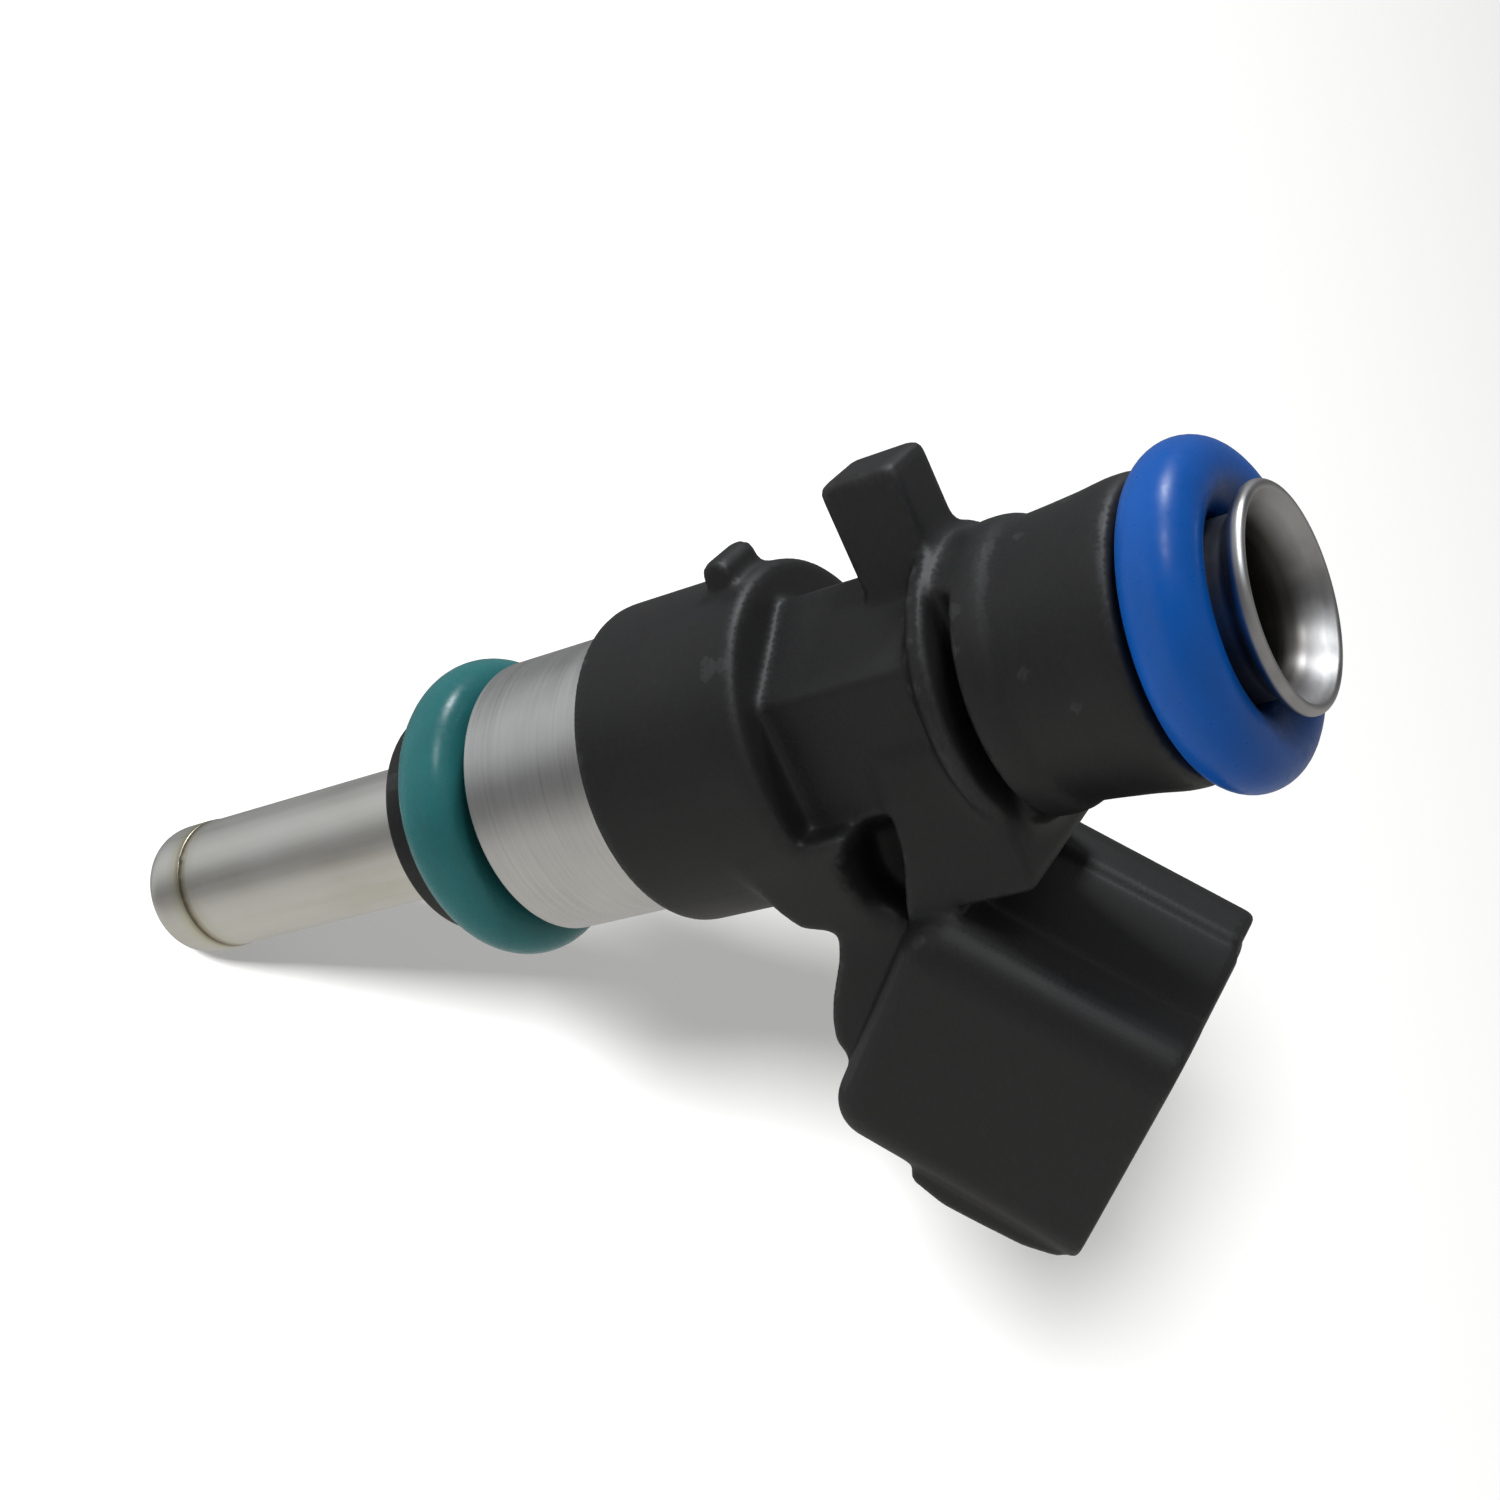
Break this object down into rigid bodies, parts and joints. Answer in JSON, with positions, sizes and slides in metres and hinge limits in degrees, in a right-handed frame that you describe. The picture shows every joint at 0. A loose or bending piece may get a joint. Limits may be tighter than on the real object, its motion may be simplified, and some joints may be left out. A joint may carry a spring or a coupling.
{
  "type": "fuel injector",
  "caption": "Electromagnetic port fuel injector with an extended steel tip, O-ring seals at both ends, a side socket for its plug and a spring-closed ball valve inside.",
  "frame": {"origin": "on the injector's axis, inside the lower O-ring and 0.2 mm below its mid-plane; this ring seals in the manifold bore", "axes": "+Z along the axis towards the fuel inlet, +X towards the electrical connector, +Y across"},
  "size_m": [0.0354, 0.0148, 0.0633],
  "materials": {
    "black_plastic": "glass-filled nylon, fine matt mould texture",
    "brushed_steel": "satin turned stainless steel",
    "polished_steel": "drawn stainless steel, semi-bright",
    "magnet_steel": "ground magnetic steel, dull",
    "spring_steel": "drawn spring wire, semi-bright",
    "blue_rubber": "smooth moulded fluoro rubber, satin",
    "teal_rubber": "smooth moulded fluoro rubber, satin",
    "copper_wire": "enamelled copper wire",
    "terminal_tin": "tin-plated brass, bright",
    "filter_plastic": "natural nylon, satin",
    "filter_mesh": "fine woven filter gauze"
  },
  "bodies": {
    "injector_body": {"fuel_inlet_tube": "polished_steel", "non_magnetic_ring": "polished_steel", "tip_tube": "brushed_steel", "filter_ring": "polished_steel", "filter_frame": "filter_plastic", "filter_screen": "filter_mesh", "upper_o_ring": "blue_rubber", "lower_o_ring": "teal_rubber", "support_ring": "black_plastic", "magnet_housing": "brushed_steel", "coil_bobbin": "filter_plastic", "coil_winding": "copper_wire", "flux_washer": "magnet_steel", "inner_pole": "magnet_steel", "adjusting_sleeve": "spring_steel", "closing_spring": "spring_steel", "ball_guide": "polished_steel", "valve_seat": "brushed_steel", "spray_disc": "polished_steel", "terminal_left": "terminal_tin", "terminal_right": "terminal_tin", "overmould": "black_plastic"},
    "needle_assembly": {"armature": "magnet_steel", "valve_needle": "polished_steel", "valve_ball": "polished_steel"}
  },
  "joints": [
    {"name": "needle_lift", "type": "slide", "parent": "injector_body", "child": "needle_assembly", "axis": [0, 0, 1], "range_m": [0, 0.00008], "stiffness_N_per_m": 1500, "springref_m": -0.002, "deforming": ["closing_spring"]}
  ]
}
